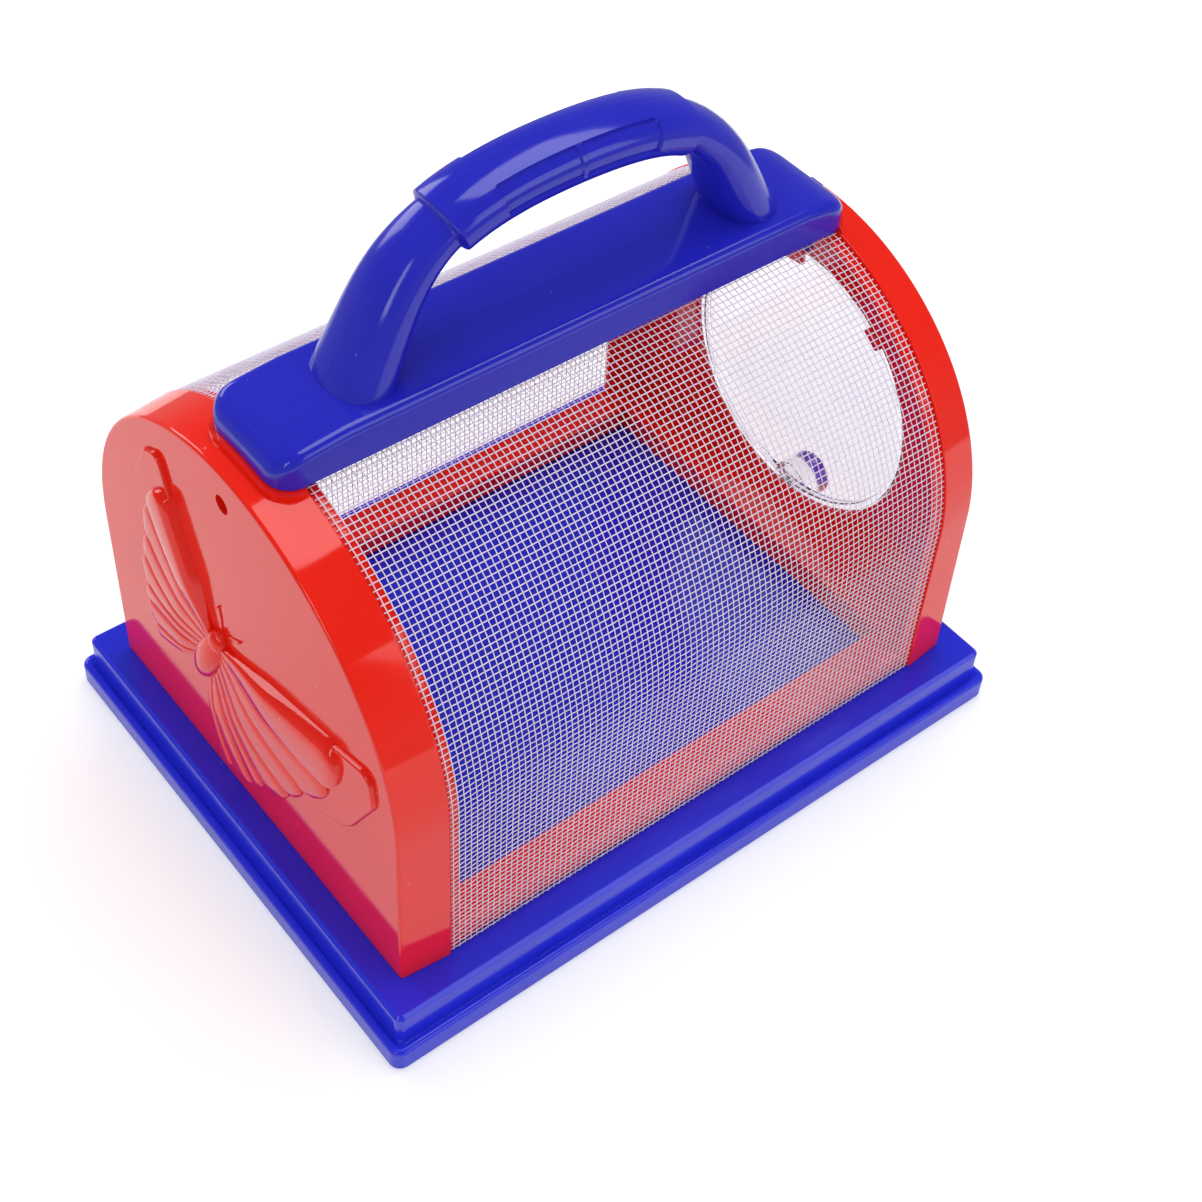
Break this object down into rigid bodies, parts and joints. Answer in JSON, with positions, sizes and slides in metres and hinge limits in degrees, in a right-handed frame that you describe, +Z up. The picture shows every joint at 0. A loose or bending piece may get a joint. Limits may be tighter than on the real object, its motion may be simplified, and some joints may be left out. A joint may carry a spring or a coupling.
{
  "type": "bug house",
  "caption": "Arched insect cage with screened sides on a stepped tray, with a carrying handle on a beam and a clear round door hinged at the top of one end wall.",
  "frame": {"origin": "middle of the tray's underside, on the surface that it stands on", "axes": "+Z up; X along the cage, with the butterfly end at -X and the door end at +X"},
  "size_m": [0.19, 0.145, 0.1749],
  "materials": {
    "blue_plastic": "glossy moulded",
    "red_plastic": "glossy moulded",
    "screen_thread": "coated woven thread",
    "clear_plastic": "clear moulded",
    "screw_steel": "zinc plated"
  },
  "bodies": {
    "cage": {"base_tray": "blue_plastic", "end_wall_front": "red_plastic", "end_wall_door": "red_plastic", "side_rail_near": "red_plastic", "side_rail_far": "red_plastic", "screen": "screen_thread", "handle_shell_near": "blue_plastic", "handle_shell_far": "blue_plastic", "hinge_pin": "screw_steel", "wall_screw_front": "screw_steel", "wall_screw_door": "screw_steel", "handle_screw_1": "screw_steel", "handle_screw_2": "screw_steel", "handle_screw_3": "screw_steel", "handle_screw_4": "screw_steel", "base_screw_1": "screw_steel", "base_screw_2": "screw_steel", "base_screw_3": "screw_steel", "base_screw_4": "screw_steel", "base_screw_5": "screw_steel", "base_screw_6": "screw_steel", "base_screw_7": "screw_steel", "base_screw_8": "screw_steel"},
    "door": {"door_panel": "clear_plastic", "door_knob": "clear_plastic"}
  },
  "joints": [
    {"name": "door_hinge", "type": "hinge", "parent": "cage", "child": "door", "pos_m": [0.08568, 0, 0.111], "axis": [0, -1, 0], "range_deg": [0, 110]}
  ]
}
